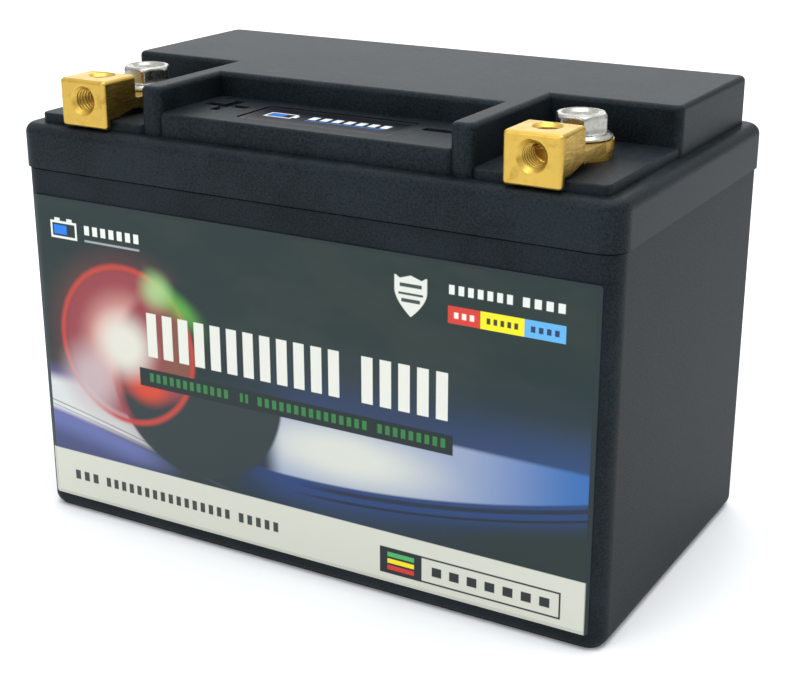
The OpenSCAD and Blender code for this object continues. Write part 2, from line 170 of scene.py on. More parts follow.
# Sockets of a Mix node that is set to colours
FIRST_COLOUR, SECOND_COLOUR, MIXED_COLOUR = 6, 7, 2


class Graph:
    """One material and the shorthand that builds its nodes.

    gloss is how strongly the surface reflects, where 0.5 is the usual strength, and tint colours it.
    """

    def __init__(self, name, metal=0.0, coat=0.0, gloss=0.5, tint=(1.0, 1.0, 1.0)):
        self.material = bpy.data.materials.new(name)
        self.material.use_nodes = True
        self.tree = self.material.node_tree
        self.tree.nodes.clear()
        self.shader = self.node("ShaderNodeBsdfPrincipled")
        self.shader.inputs["Metallic"].default_value = metal
        self.shader.inputs["Specular IOR Level"].default_value = gloss
        self.shader.inputs["Specular Tint"].default_value = (*tint, 1.0)
        if coat:
            self.shader.inputs["Coat Weight"].default_value = coat
            self.shader.inputs["Coat Roughness"].default_value = COAT_ROUGHNESS
        output = self.node("ShaderNodeOutputMaterial")
        self.tree.links.new(self.shader.outputs["BSDF"], output.inputs["Surface"])
        self.place = self.node("ShaderNodeTexCoord").outputs["Object"]

    def node(self, kind, **settings):
        made = self.tree.nodes.new(kind)
        for key, value in settings.items():
            setattr(made, key, value)
        return made

    def plug(self, socket, value):
        if isinstance(value, Amount):
            self.tree.links.new(value.socket, socket)
        elif isinstance(value, bpy.types.NodeSocket):
            self.tree.links.new(value, socket)
        else:
            socket.default_value = value

    def math(self, operation, *values):
        made = self.node("ShaderNodeMath", operation=operation)
        for socket, value in zip(made.inputs, values):
            self.plug(socket, value)
        return Amount(self, made.outputs[0])

    def axes(self):
        """X, Y and Z in millimetres."""
        made = self.node("ShaderNodeSeparateXYZ")
        self.plug(made.inputs[0], self.place)
        return [Amount(self, out) * MM_PER_M for out in made.outputs]

    def facing(self):
        """X, Y and Z of the surface's outward direction."""
        made = self.node("ShaderNodeSeparateXYZ")
        self.plug(made.inputs[0], self.node("ShaderNodeNewGeometry").outputs["Normal"])
        return [Amount(self, out) for out in made.outputs]

    def ramp(self, value, low, high, from_value=0.0, to_value=1.0):
        """Runs smoothly from from_value at low to to_value at high, where low may be the greater one."""
        made = self.node("ShaderNodeMapRange", interpolation_type="SMOOTHSTEP", clamp=True)
        numbers = (value, low, high, from_value, to_value)
        if isinstance(low, (int, float)) and isinstance(high, (int, float)) and low > high:
            numbers = (value, high, low, to_value, from_value)
        for socket, number in zip(made.inputs, numbers):
            self.plug(socket, number)
        return Amount(self, made.outputs[0])

    def stretch(self, sx, sy, sz):
        """A place for noise whose spots are that many times narrower along X, Y and Z."""
        made = self.node("ShaderNodeMapping")
        self.plug(made.inputs["Vector"], self.place)
        made.inputs["Scale"].default_value = (sx, sy, sz)
        return made.outputs["Vector"]

    def noise(self, size_mm, detail=3.0, roughness=0.55, place=None, distortion=0.0):
        """Noise from 0 to 1 whose spots are about size_mm across."""
        made = self.node("ShaderNodeTexNoise")
        self.plug(made.inputs["Vector"], place or self.place)
        made.inputs["Scale"].default_value = MM_PER_M / size_mm
        made.inputs["Detail"].default_value = detail
        made.inputs["Roughness"].default_value = roughness
        made.inputs["Distortion"].default_value = distortion
        return Amount(self, made.outputs[0])

    def mix(self, amount, first, second):
        """A colour that goes from first to second as amount goes from 0 to 1."""
        made = self.node("ShaderNodeMix", data_type="RGBA")
        self.plug(made.inputs["Factor"], amount)
        self.plug(made.inputs[FIRST_COLOUR], first)
        self.plug(made.inputs[SECOND_COLOUR], second)
        return made.outputs[MIXED_COLOUR]

    def bump(self, height, depth_mm, after=None):
        """A normal from height, which runs from 0 to 1 over depth_mm."""
        made = self.node("ShaderNodeBump")
        made.inputs["Distance"].default_value = depth_mm * MM
        made.inputs["Strength"].default_value = 1.0
        self.plug(made.inputs["Height"], height)
        if after is not None:
            self.plug(made.inputs["Normal"], after)
        return made.outputs["Normal"]

    def finish(self, colour, rough, normal):
        """Connects the shader and hands over the material."""
        self.plug(self.shader.inputs["Base Color"], colour)
        self.plug(self.shader.inputs["Roughness"], rough)
        self.plug(self.shader.inputs["Normal"], normal)
        return self.material


def moulded_plastic(name, dark, light, rough):
    """Black moulded plastic with a spark-eroded grain, faint flow marks and a little dust on top."""
    grain_mm = 0.5
    grain_depth = 0.06
    g = Graph(name, gloss=0.16, tint=(0.78, 0.93, 1.0))
    flow = g.noise(16, detail=4)
    grain = g.noise(grain_mm, detail=2, roughness=0.6)
    fine = g.noise(grain_mm * 0.4, detail=1)
    up = g.facing()[2]
    dust = g.ramp(up, 0.7, 1.0) * g.ramp(g.noise(2.2, detail=6, roughness=0.75), 0.5, 0.8)
    tone = g.mix(g.ramp(flow * 0.3 + grain * 0.4 + fine * 0.3, 0.40, 0.60), dark, light)
    tone = g.mix(dust * 0.10, tone, paint(120, 124, 126))
    scuff = g.noise(1.4, detail=5, roughness=0.7, place=g.stretch(0.25, 0.25, 2.5))
    roughness = g.ramp(scuff, 0.62, 0.78, rough, rough - 0.09) + (flow - 0.5) * 0.10
    normal = g.bump(grain * 0.7 + fine * 0.3, grain_depth)
    normal = g.bump(flow, 0.02, after=normal)
    return g.finish(tone, roughness, normal)


def brass(name):
    """Cast and milled brass: mill lines from front to back, pits, warm tarnish, and painted shade in streaks
    on the side faces.
    """
    g = Graph(name, metal=1.0)
    mill = g.noise(2.6, detail=4, roughness=0.7, place=g.stretch(14.0, 1.0, 14.0))
    patch = g.noise(3.5, detail=5, roughness=0.65, distortion=0.6)
    pits = g.ramp(g.noise(0.55, detail=3, roughness=0.7), 0.66, 0.76)
    tone = g.mix(g.ramp(patch, 0.5, 0.8) * 0.55, paint(206, 170, 80), paint(140, 102, 38))
    tone = g.mix(pits * 0.3, tone, paint(92, 62, 22))
    tone = g.mix(g.ramp(mill, 0.5, 0.75) * 0.25, tone, paint(240, 214, 136))
    # Painted shade: faces that point along X are darkened, in streaks that follow the mill lines.
    side_shade = g.ramp(abs(g.facing()[0]), 0.7, 0.95)
    tone = g.mix(side_shade * g.ramp(mill, 0.62, 0.36) * 0.6, tone, paint(118, 86, 38))
    roughness = g.ramp(patch, 0.3, 0.75, 0.34, 0.46) + (mill - 0.5) * 0.10
    normal = g.bump(mill, 0.006)
    normal = g.bump(1.0 - pits, 0.012, after=normal)
    return g.finish(tone, roughness, normal)


def plated(name, base, rough=0.22):
    """Plated metal with fine level lines, small scratches and dull spots."""
    g = Graph(name, metal=1.0)
    spots = g.noise(1.1, detail=5, roughness=0.7)
    lines = g.noise(0.35, detail=2, place=g.stretch(0.15, 0.15, 3.0))
    scratch = g.ramp(g.noise(0.8, detail=2, place=g.stretch(0.2, 3.0, 3.0), distortion=1.2), 0.70, 0.74)
    dull = tuple(0.78 * part for part in base[:3]) + (1.0,)
    tone = g.mix(g.ramp(spots, 0.45, 0.75), base, dull)
    roughness = g.ramp(spots, 0.35, 0.75, rough, rough + 0.16) + scratch * 0.15
    normal = g.bump(lines, 0.003)
    normal = g.bump(scratch, -0.002, after=normal)
    return g.finish(tone, roughness, normal)


def speckled(name, dark, light, spot_mm, rough, depth=0.02, metal=0.0, streak=(1, 1, 1)):
    """A plain finish for parts inside the case: two tones, uneven gloss and a fine relief."""
    g = Graph(name, metal=metal)
    spots = g.noise(spot_mm, detail=4, roughness=0.6, place=g.stretch(*streak))
    wide = g.noise(spot_mm * 9, detail=2)
    tone = g.mix(g.ramp(spots * 0.6 + wide * 0.4, 0.38, 0.62), dark, light)
    return g.finish(tone, rough + (spots - 0.5) * 0.1, g.bump(spots, depth))


# ---------------------------------------------------------------- printed artwork


class Print:
    """A printed face. u runs to the right and v up, in millimetres. Each mark goes over the ones before."""

    def __init__(self, graph, u, v):
        self.g, self.u, self.v, self.colour = graph, u, v, None

    def lay(self, mask, colour):
        self.colour = self.g.mix(mask, self.colour, colour)

    def span(self, value, low, high, soft=0.12):
        """1 between low and high."""
        return self.g.ramp(value, low - soft, low + soft) * self.g.ramp(value, high + soft, high - soft)

    def block(self, u0, u1, v0, v1, soft=0.12):
        return self.span(self.u, u0, u1, soft) * self.span(self.v, v0, v1, soft)

    def outline(self, u0, u1, v0, v1, line):
        inner = self.block(u0 + line, u1 - line, v0 + line, v1 - line)
        return self.block(u0, u1, v0, v1) * (1.0 - inner)

    def comb(self, u0, pitch, share, soft):
        """1 on upright strips that start at u0, one every pitch, each share of the pitch wide."""
        phase = self.g.math("FLOORED_MODULO", self.u - u0, pitch)
        return self.g.ramp(phase, 0.0, 2 * soft) * self.g.ramp(phase, pitch * share, pitch * share - 2 * soft)

    def word(self, u0, u1, v0, v1, pitch, share=0.68):
        """A word's place filled with a whole number of upright bars, from u0 to u1."""
        soft = 0.1
        count = max(1, round((u1 - u0) / pitch - share) + 1)
        pitch = (u1 - u0) / (count - 1 + share)
        gap = pitch * (1 - share) / 2
        return self.block(u0 - gap, u1 + gap, v0, v1, soft) * self.comb(u0, pitch, share, soft)

    def distance(self, u0, v0, stretch=1.0):
        """How far a point is from (u0, v0), with its height difference counted stretch times."""
        du = self.u - u0
        dv = (self.v - v0) * stretch
        return self.g.math("SQRT", du * du + dv * dv)

    def ring(self, u0, v0, radius, half_width):
        off = abs(self.distance(u0, v0) - radius)
        return self.g.ramp(off, half_width, 0.0)


PALE_INK = (228, 229, 222)
SIGN_BLUE = (28, 112, 214)
FOOT_TOP = (16.1, 15.8)  # heights between which the pale foot of the label begins
HEART = (25.2, 46.8)  # middle of the red light
DISC = (44.5, 41.5)  # middle of the dark disc


def label_ground(art):
    g, u, v = art.g, art.u, art.v
    cloud = g.noise(34, detail=3, roughness=0.6, place=g.stretch(1.0, 1.0, 2.2))
    art.colour = g.mix(g.ramp(cloud, 0.35, 0.7), paint(27, 40, 41), paint(41, 50, 45))
    art.lay(g.ramp(v, 62, 38) * g.ramp(u, 40, 80) * 0.55, paint(36, 48, 78))


def label_left_sweep(art):
    """Pale sweep of light that curves down from the left edge, with lilac over it and blue under it."""
    g, u, v = art.g, art.u, art.v
    curve = 26.2 - u * 0.135 - u * u * 0.001
    rise = v - curve
    art.lay(g.ramp(v, 40.0, 33.5) * g.ramp(u, 34, 6), paint(104, 92, 150))
    art.lay(g.ramp(rise, -0.6, 1.6) * g.ramp(v, 36.5, 33.0) * g.ramp(u, 44, 20), paint(206, 208, 206))
    for offset, width in ((2.6, 0.35), (1.5, 0.22)):
        line = g.ramp(abs(rise - offset + u * 0.03), width, 0.0)
        art.lay(line * g.ramp(u, 40, 25) * 0.7, paint(96, 100, 108))
    art.lay(g.ramp(rise, 0.6, -1.0) * g.ramp(v, 14.0, 18.0), paint(96, 104, 158))
    art.lay(g.ramp(rise, -1.5, -7.5) * 0.8, paint(58, 60, 96))
    art.lay(g.ramp(rise, 0.5, -0.5) * g.ramp(u, 24, 42), paint(40, 50, 54))


def label_right_sweep(art):
    """Band of light from behind the disc to the right edge, white at its start and blue at its end."""
    g, u, v = art.g, art.u, art.v
    run = u - 70.0
    curve = 23.6 + run * run * 0.0019
    above = v - curve
    art.lay(g.ramp(u, 50, 72) * g.ramp(above, -9.0, -1.0) * g.ramp(above, 1.0, 0.0), paint(36, 60, 112))
    haze = g.ramp(u, 60, 80) * g.ramp(v, 52.0, 39.0) * g.ramp(above, -0.5, 0.5)
    art.lay(haze, g.mix(g.ramp(u, 100, 143), paint(42, 56, 92), paint(40, 64, 106)))
    sweep = g.ramp(u, 63, 69) * g.ramp(above, -0.2, 0.5) * g.ramp(v, 40.6, 39.4)
    art.lay(sweep, g.mix(g.ramp(u, 105, 143), paint(150, 160, 184), paint(52, 100, 164)))
    glow = g.ramp(g.math("SQRT", (u - 84) * (u - 84) * 0.09 + (v - 31.5) * (v - 31.5)), 10.0, 2.0)
    art.lay(glow * sweep, paint(206, 207, 198))
    for offset, width, tone in ((-1.4, 0.8, (34, 40, 58)), (-3.6, 0.45, (30, 36, 50))):
        art.lay(g.ramp(abs(above - offset), width, width * 0.3) * g.ramp(u, 68, 84), paint(*tone))
    art.lay(g.ramp(above, -1.8, -9.0) * g.ramp(u, 84, 128), paint(34, 43, 43))


def label_lamp(art):
    """The dark disc, and the ring of red light with a white heart and a green tail."""
    g, u, v = art.g, art.u, art.v
    disc = art.distance(*DISC)
    art.lay(g.ramp(disc, 24.4, 23.4) * g.ramp(v, 44.0, 38.0), paint(41, 50, 53))
    from_heart = art.distance(*HEART)
    inside = g.ramp(from_heart, 19.5, 17.0)
    art.lay(g.ramp(from_heart, 27.0, 17.0) * g.ramp(disc, 22.0, 24.5) * 0.35, paint(128, 62, 66))
    lit = g.ramp(disc, 21.5, 24.0) * g.ramp(u, 42, 33) + g.ramp(v, 33.0, 38.0)
    art.lay(inside * g.math("MINIMUM", lit, 1.0), paint(142, 58, 66))
    art.lay(inside * g.ramp(u, 30, 40) * g.ramp(v, 36, 42) * 0.8, paint(120, 78, 58))
    art.lay(g.ramp(from_heart, 16.0, 6.0) * g.ramp(disc, 21.0, 24.5), paint(206, 150, 140))
    art.lay(g.ramp(art.distance(31, 37.5, 1.4), 8.5, 2.0) * inside, paint(200, 66, 44))
    art.lay(art.ring(25.2, 46.6, 19.0, 1.3), paint(182, 62, 52))
    art.lay(g.ramp(art.distance(24.5, 46.6, 1.05), 11.5, 3.0), paint(214, 210, 198))
    low_glow = g.ramp(art.distance(14, 36, 0.9), 12.0, 2.0) * g.ramp(disc, 23.6, 25.0)
    art.lay(low_glow * 0.75, paint(196, 184, 186))
    green_line = abs(v - 60.5 + (u - 38) * 0.62)
    art.lay(g.ramp(green_line, 5.0, 0.0) * art.span(u, 34, 46, 4.0) * 0.8, paint(96, 168, 66))
    art.lay(g.ramp(art.distance(34.5, 61.5), 6.5, 0.5) * 0.75, paint(168, 204, 140))


def label_title(art):
    """Two rows of plain bars in the middle: a tall pale one, and a low green one on a dark strip."""
    for left, right in ((31.4, 83.6), (89.0, 110.1)):
        art.lay(art.word(left, right, 45.2, 55.9, 4.3, 0.66), paint(220, 220, 210))
    art.lay(art.block(28.7, 111.3, 37.6, 42.1), paint(28, 36, 38))
    for left, right in ((31.5, 53.9), (57.0, 59.4), (61.8, 90.4), (92.9, 109.6)):
        art.lay(art.word(left, right, 39.0, 41.1, 2.0), paint(52, 118, 60))


def label_shield(art):
    g, u, v = art.g, art.u, art.v
    middle = 101.1
    aside = abs(u - middle)
    taper = g.math("POWER", g.ramp(v, 66.6, 72.4), 0.5) * 3.85
    crown = 75.6 - aside * 0.32 + g.ramp(aside, 2.4, 3.8)
    shield = g.ramp(aside - taper, 0.15, -0.15) * g.ramp(v - crown, 0.12, -0.12) * g.ramp(v, 66.6, 66.8)
    art.lay(shield, paint(218, 219, 210))
    for low, high, half in ((73.0, 73.8, 2.6), (71.3, 71.8, 2.9), (69.7, 70.5, 2.2)):
        art.lay(art.block(middle - half, middle + half, low, high), paint(62, 68, 66))


def label_chips(art):
    """Plain bars at the top right, and three coloured chips under them."""
    for left, right in ((109.9, 124.4), (126.4, 135.8)):
        art.lay(art.word(left, right, 73.1, 75.1, 2.3), paint(224, 226, 220))
    for left, right, tone, ink in (
        (109.8, 117.2, (206, 58, 46), (240, 222, 214)),
        (117.2, 127.0, (244, 224, 28), (60, 58, 40)),
        (127.0, 136.0, (96, 170, 224), (34, 56, 92)),
    ):
        art.lay(art.block(left, right, 66.9, 70.65, 0.08), paint(*tone))
        art.lay(art.word(left + 1.3, right - 1.3, 68.1, 69.4, 1.6), paint(*ink))


def label_sign(art):
    """Plain battery sign with bars beside it at the top left."""
    art.lay(art.outline(4.6, 12.4, 70.2, 74.4, 0.55), paint(*PALE_INK))
    art.lay(art.block(5.9, 7.5, 74.4, 75.1) + art.block(9.5, 11.1, 74.4, 75.1), paint(*PALE_INK))
    art.lay(art.block(5.6, 9.4, 71.2, 73.4), paint(30, 118, 226))
    art.lay(art.word(14.6, 30.6, 72.0, 74.2, 2.4), paint(*PALE_INK))
    art.lay(art.block(14.6, 30.6, 70.3, 70.8), paint(150, 160, 164))


def label_foot(art):
    """Pale foot with plain dark bars and a box that starts with a three-bar charge gauge."""
    art.lay(art.g.ramp(art.v, *FOOT_TOP), paint(204, 204, 191))
    for left, right in ((6.5, 13.8), (16.2, 53.0), (55.4, 66.6)):
        art.lay(art.word(left, right, 8.6, 11.0, 2.4, 0.64), paint(58, 62, 60))
    low, high = 5.95, 12.25
    art.lay(art.outline(93.5, 137.0, low, high, 0.42), paint(34, 36, 40))
    art.lay(art.block(93.5, 104.0, low, high), paint(34, 36, 40))
    for bar_low, tone in ((6.9, (198, 50, 44)), (8.5, (240, 214, 30)), (10.1, (74, 170, 96))):
        art.lay(art.block(95.4, 102.1, bar_low, bar_low + 1.1, 0.08), paint(*tone))
    art.lay(art.word(106.4, 134.6, 8.0, 10.2, 4.6, 0.6), paint(40, 43, 46))


def label_edge(art):
    """Clear edge of the laminate, which shows the case through it."""
    g, u, v = art.g, art.u, art.v
    inner = art.block(0.9, 142.2, 4.6, 79.2, 0.1)
    art.lay(1.0 - inner, g.mix(g.ramp(v, *FOOT_TOP), paint(32, 40, 44), paint(190, 190, 178)))
    art.lay(g.ramp(u, 142.2, 142.6), paint(34, 41, 45))


def label_print():
    """The front label. u starts at its left edge, and v is the height above the battery's underside."""
    g = Graph("front_label_print", coat=0.06, gloss=0.26, tint=(0.8, 1.0, 0.98))
    x, _, z = g.axes()
    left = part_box("front_label")[0].x * MM_PER_M
    art = Print(g, x - left, z)
    for draw in (
        label_ground,
        label_left_sweep,
        label_right_sweep,
        label_lamp,
        label_title,
        label_shield,
        label_chips,
        label_sign,
        label_foot,
        label_edge,
    ):
        draw(art)
    fine = g.noise(0.5, detail=2)
    wave = g.noise(22, detail=2)
    smear = g.noise(9, detail=5, roughness=0.7, place=g.stretch(0.6, 1.0, 1.6))
    return g.finish(art.colour, 0.30 + smear * 0.10, g.bump(fine, 0.0025, after=g.bump(wave, 0.05)))


def nameplate_print():
    """Dark plate with a fine border line, a plain battery sign, and bars. u and v start at its middle."""
    g = Graph("nameplate_print", gloss=0.1)
    x, y, _ = g.axes()
    low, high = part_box("lid_nameplate")
    centre = (low + high) / 2 / MM
    art = Print(g, x - centre.x, y - centre.y)
    art.colour = g.mix(g.ramp(g.noise(12), 0.35, 0.65), paint(14, 16, 20), paint(20, 22, 26))
    art.lay(art.outline(-18.6, 18.6, -6.4, 6.4, 0.3) * 0.5, paint(70, 76, 84))
    art.lay(art.outline(-15.4, -8.4, -2.0, 2.0, 0.5), paint(224, 230, 236))
    art.lay(art.block(-8.4, -7.5, -0.9, 0.9), paint(224, 230, 236))
    art.lay(art.block(-14.4, -10.8, -1.0, 1.0), paint(*SIGN_BLUE))
    art.lay(art.word(-4.6, 15.4, -0.9, 1.9, 3.0), paint(214, 220, 226))
    art.lay(art.block(-4.6, 15.4, -2.1, -1.7), paint(*SIGN_BLUE))
    fine = g.noise(0.4, detail=2)
    return g.finish(art.colour, 0.28 + g.noise(5, detail=4) * 0.12, g.bump(fine, 0.004))


# ---------------------------------------------------------------- meshes


def new_piece(name, mesh, body, material, stands_for):
    """A piece that moves with a body and takes the place of some CAD nodes."""
    piece = bpy.data.objects.new(name, mesh)
    bpy.context.scene.collection.objects.link(piece)
    mesh.materials.clear()
    mesh.materials.append(material)
    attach(piece, body)
    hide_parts(*stands_for)
    return piece


def skin_of_rings(name, rings, low_tip, high_tip):
    """A closed mesh through rings of equal length, with a tip point under the first and one over the last."""
    count = len(rings[0])
    vertices = [low_tip, *(p for ring in rings for p in ring), high_tip]
    faces = []
    for i in range(count):
        j = (i + 1) % count
        faces.append((0, 1 + j, 1 + i))
        last = 1 + (len(rings) - 1) * count
        faces.append((last + i, last + j, len(vertices) - 1))
        for k in range(len(rings) - 1):
            a = 1 + k * count
            faces.append((a + i, a + j, a + count + j, a + count + i))
    mesh = bpy.data.meshes.new(name)
    mesh.from_pydata([tuple(v) for v in vertices], [], faces)
    mesh.update()
    return mesh


def soften(mesh, degrees):
    """Smooth shading, with edges sharper than degrees kept sharp."""
    mesh.shade_smooth()
    mesh.set_sharp_from_angle(angle=math.radians(degrees))


THREAD_PITCH = 1.0 * MM
RINGS_PER_PITCH = 10
# A thread's section: its height falls from CREST_REACH with the distance from the crest, cut off at 1 and 0
CREST_REACH = 1.35
FLANK_SLOPE = 3.1
STEPS = 72  # points round a turned piece, a multiple of six for the hexagon


def groove(turn, height):
    """0 at the bottom of a thread's groove and 1 on its crest, at a share of a turn and a height."""
    phase = (height / THREAD_PITCH - turn) % 1.0
    return min(1.0, max(0.0, CREST_REACH - abs(phase - 0.5) * FLANK_SLOPE))


def point_round(r, angle, z):
    return (r * math.cos(angle), r * math.sin(angle), z)


def threaded_rod(root_r, crest_r, low, high, rise):
    """Rings of a thread from low to high, its crest fading in over rise at the low end."""
    rings = []
    count = max(2, round((high - low) / (THREAD_PITCH / RINGS_PER_PITCH)))
    for k in range(count + 1):
        z = low + (high - low) * k / count
        fade = min(1.0, (z - low) / rise)
        ring = []
        for i in range(STEPS):
            turn = i / STEPS
            r = root_r + (crest_r - root_r) * groove(turn, z) * fade
            ring.append(point_round(r, 2 * math.pi * turn, z))
        rings.append(ring)
    return rings


def circle_ring(r, z):
    return [point_round(r, 2 * math.pi * i / STEPS, z) for i in range(STEPS)]


def hex_ring(half_flat, z, most):
    """A hexagon's outline whose corners are cut back to the radius most."""
    sixth = math.pi / 3
    ring = []
    for i in range(STEPS):
        angle = 2 * math.pi * i / STEPS
        off = (angle + sixth / 2) % sixth - sixth / 2
        r = min(half_flat / math.cos(off), most)
        ring.append(point_round(r, angle + sixth / 2, z))
    return ring


# The bolt in millimetres: its thread, the half-round rim of its flange, and the hexagon with its domed top
SHANK_LENGTH = 12.0
SHANK_TIP_R = 1.9
SHANK_ROOT_R = 2.45
SHANK_CREST_R = 2.94
FLANGE_R = 6.6
RIM_R = 0.32
HALF_FLATS = 5.0
HEX_CORNER_R = 5.6
DOME_HEIGHT = 1.1
# Radius and height over the flange's underside, where the shank meets the flange and on the flange's cone
SHANK_END = ((2.6, -0.9), (2.75, -0.15), (3.0, 0.0), (FLANGE_R - RIM_R, 0.0))
CONE = ((6.1, 0.78), (5.85, 1.02))
# Half width over the flats, height over the flange's underside, and the largest radius
HEX_FOOT = ((5.4, 1.25, 5.7), (HALF_FLATS + 0.12, 1.42, 5.62))
HEX_HEIGHTS = (1.65, 2.6, 3.7)
# Radius and depth below the bolt's top, in the dish of the head
DISH = ((4.3, 0.02), (4.0, 0.12), (3.5, 0.6), (3.1, 0.78), (2.2, 0.84), (1.2, 0.8))
DISH_DEPTH = 0.78


def rim_rings(under):
    """The flange's half-round edge, from its underside up."""
    rings = []
    for k in range(7):
        bend = math.pi * (k / 6 - 0.5)
        r = FLANGE_R - RIM_R + RIM_R * math.cos(bend)
        rings.append(circle_ring(r * MM, under + (RIM_R + RIM_R * math.sin(bend)) * MM))
    return rings


def dome_rings(top):
    """The top of the hexagon, whose corners and flats draw in as it rises."""
    rings = []
    for k in range(9):
        share = k / 8
        quarter = share * math.pi / 2
        most = HEX_CORNER_R - 1 + math.cos(quarter)
        height = top + (math.sin(quarter) - 1) * DOME_HEIGHT * MM
        rings.append(hex_ring((HALF_FLATS - 0.5 * share**3) * MM, height, most * MM))
    return rings


def flange_bolt(side, material):
    """Hex flange bolt with a rolled thread, a coned flange and a dished head."""
    low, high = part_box(f"bolt_{side}")
    centre = (low + high) / 2
    under = low.z + SHANK_LENGTH * MM
    top = high.z
    rings = [circle_ring(SHANK_TIP_R * MM, low.z)]
    thread_low, thread_high = low.z + 0.35 * MM, under - 1.2 * MM
    rings += threaded_rod(SHANK_ROOT_R * MM, SHANK_CREST_R * MM, thread_low, thread_high, 0.9 * MM)
    rings += [circle_ring(r * MM, under + up * MM) for r, up in SHANK_END]
    rings += rim_rings(under)
    rings += [circle_ring(r * MM, under + up * MM) for r, up in CONE]
    rings += [hex_ring(half * MM, under + up * MM, most * MM) for half, up, most in HEX_FOOT]
    rings += [hex_ring(HALF_FLATS * MM, under + up * MM, HEX_CORNER_R * MM) for up in HEX_HEIGHTS]
    rings += dome_rings(top)
    rings += [circle_ring(r * MM, top - down * MM) for r, down in DISH]
    mesh = skin_of_rings(f"bolt_{side}_mesh", rings, (0, 0, low.z), (0, 0, top - DISH_DEPTH * MM))
    mesh.transform(Matrix.Translation((centre.x, centre.y, 0)))
    soften(mesh, 38)
    new_piece(f"flange_bolt_{side}", mesh, f"bolt_{side}", material, [f"bolt_{side}"])


def cleaned_copy(node):
    """A mesh copied from a CAD node, with its flat faces joined up."""
    carrier = bpy.data.objects.new("carrier", NODES[node].data.copy())
    bpy.context.scene.collection.objects.link(carrier)
    join_flats(carrier)
    return bake(carrier)


SHARP_ANGLE = math.radians(50)


def rounded_prism(name, outline, low_x, high_x, radius, segments):
    """A bar with an outline in Y and Z, whose sharp outward edges are rounded to radius."""
    shape = bmesh.new()
    ends = [[shape.verts.new((x, y, z)) for y, z in outline] for x in (low_x, high_x)]
    shape.faces.new(reversed(ends[0]))
    shape.faces.new(ends[1])
    for k in range(len(outline)):
        after = (k + 1) % len(outline)
        shape.faces.new((ends[0][k], ends[0][after], ends[1][after], ends[1][k]))
    bmesh.ops.recalc_face_normals(shape, faces=shape.faces)
    edges = [e for e in shape.edges if e.is_convex and e.calc_face_angle() > SHARP_ANGLE]
    bmesh.ops.bevel(shape, geom=edges, offset=radius, segments=segments, profile=0.5, affect="EDGES")
    mesh = bpy.data.meshes.new(name)
    shape.to_mesh(mesh)
    shape.free()
    return mesh


def carve(mesh, tool, operation, place=None):
    """The mesh left when the closed mesh tool is cut from, joined to or crossed with mesh."""
    other = bpy.data.objects.new("tool", tool)
    if place is not None:
        other.matrix_world = place
    carrier = bpy.data.objects.new("carrier", mesh)
    for obj in (other, carrier):
        bpy.context.scene.collection.objects.link(obj)
    bpy.context.view_layer.update()
    step = carrier.modifiers.new("carve", "BOOLEAN")
    step.operation = operation
    step.solver = "MANIFOLD"
    step.object = other
    result = bake(carrier)
    bpy.data.objects.remove(other)
    return result


def join_flats(obj):
    """Welds the CAD mesh's points and joins its triangles into flat faces."""
    weld = obj.modifiers.new("weld", "WELD")
    weld.merge_threshold = 1e-6
    flat = obj.modifiers.new("flat", "DECIMATE")
    flat.decimate_type = "DISSOLVE"
    flat.angle_limit = math.radians(0.4)


def keep_flats_flat(obj):
    shade = obj.modifiers.new("shade", "WEIGHTED_NORMAL")
    shade.keep_sharp = True
    shade.weight = 60


def ease_edges(obj, bevel_mm):
    """Joins the CAD node's flat faces and rounds its sharp edges."""
    join_flats(obj)
    edge = obj.modifiers.new("edge", "BEVEL")
    edge.width = bevel_mm * MM
    edge.segments = 3
    edge.limit_method = "ANGLE"
    edge.angle_limit = math.radians(40)
    keep_flats_flat(obj)


def bake(carrier):
    """The mesh that an object's modifiers give, with the object itself removed."""
    graph = bpy.context.evaluated_depsgraph_get()
    mesh = bpy.data.meshes.new_from_object(carrier.evaluated_get(graph))
    bpy.data.objects.remove(carrier)
    return mesh


def cut_thread(mesh, centre, direction, root_mm, crest_mm, length_mm):
    """Cuts a threaded hole's grooves into mesh. The hole opens at centre and runs along direction."""
    rings = threaded_rod(root_mm * MM, crest_mm * MM, 0.0, length_mm * MM, 0.5 * MM)
    rod = skin_of_rings("rod", rings, (0, 0, 0), (0, 0, length_mm * MM))
    place = Matrix.Translation(centre) @ Vector(direction).to_track_quat("Z", "Y").to_matrix().to_4x4()
    return carve(mesh, rod, "DIFFERENCE", place)


# The adapter in millimetres. The CAD adapter is crossed with a rounded block joined to a bar round its eye.
TAP_ROOT_R = 2.35
TAP_CREST_R = 2.92
# How far behind the block's face each thread starts, and how long it is
FRONT_START, FRONT_LENGTH = 1.0, 5.9
TOP_START, TOP_LENGTH = 0.7, 3.6
BLOCK_WIDTH = 12.8
BLOCK_EASE = 0.9
SKIN = 0.01  # room that keeps the flats of the CAD block as they are
# Outlines seen from the side, from the block's front bottom corner. The block's outline has the lip that
# hooks over the ledge, then the foot of the neck.
BLOCK_OUTLINE = (
    (-SKIN, -SKIN),
    (2.0, -SKIN),
    (2.0, 2.0 - SKIN),
    (4.9, 2.0 - SKIN),
    (11.4 + SKIN, 3.4 - SKIN),
    (11.4 + SKIN, 10.9 + SKIN),
    (-SKIN, 10.9 + SKIN),
)
EYE_OUTLINE = ((10.5, 3.2), (10.5, 5.8), (40, 5.8), (40, 3.2))
EYE_ROOM = 24.0
EYE_EASE = 0.02


def shaper_bar(name, node, outline, width, ease, segments):
    """A rounded bar across a node, width wide, with an outline that starts at the node's low front corner."""
    low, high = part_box(node)
    middle = (low.x + high.x) / 2
    half = width / 2 * MM
    placed = [(low.y + across * MM, low.z + up * MM) for across, up in outline]
    return rounded_prism(name, placed, middle - half, middle + half, ease * MM, segments)


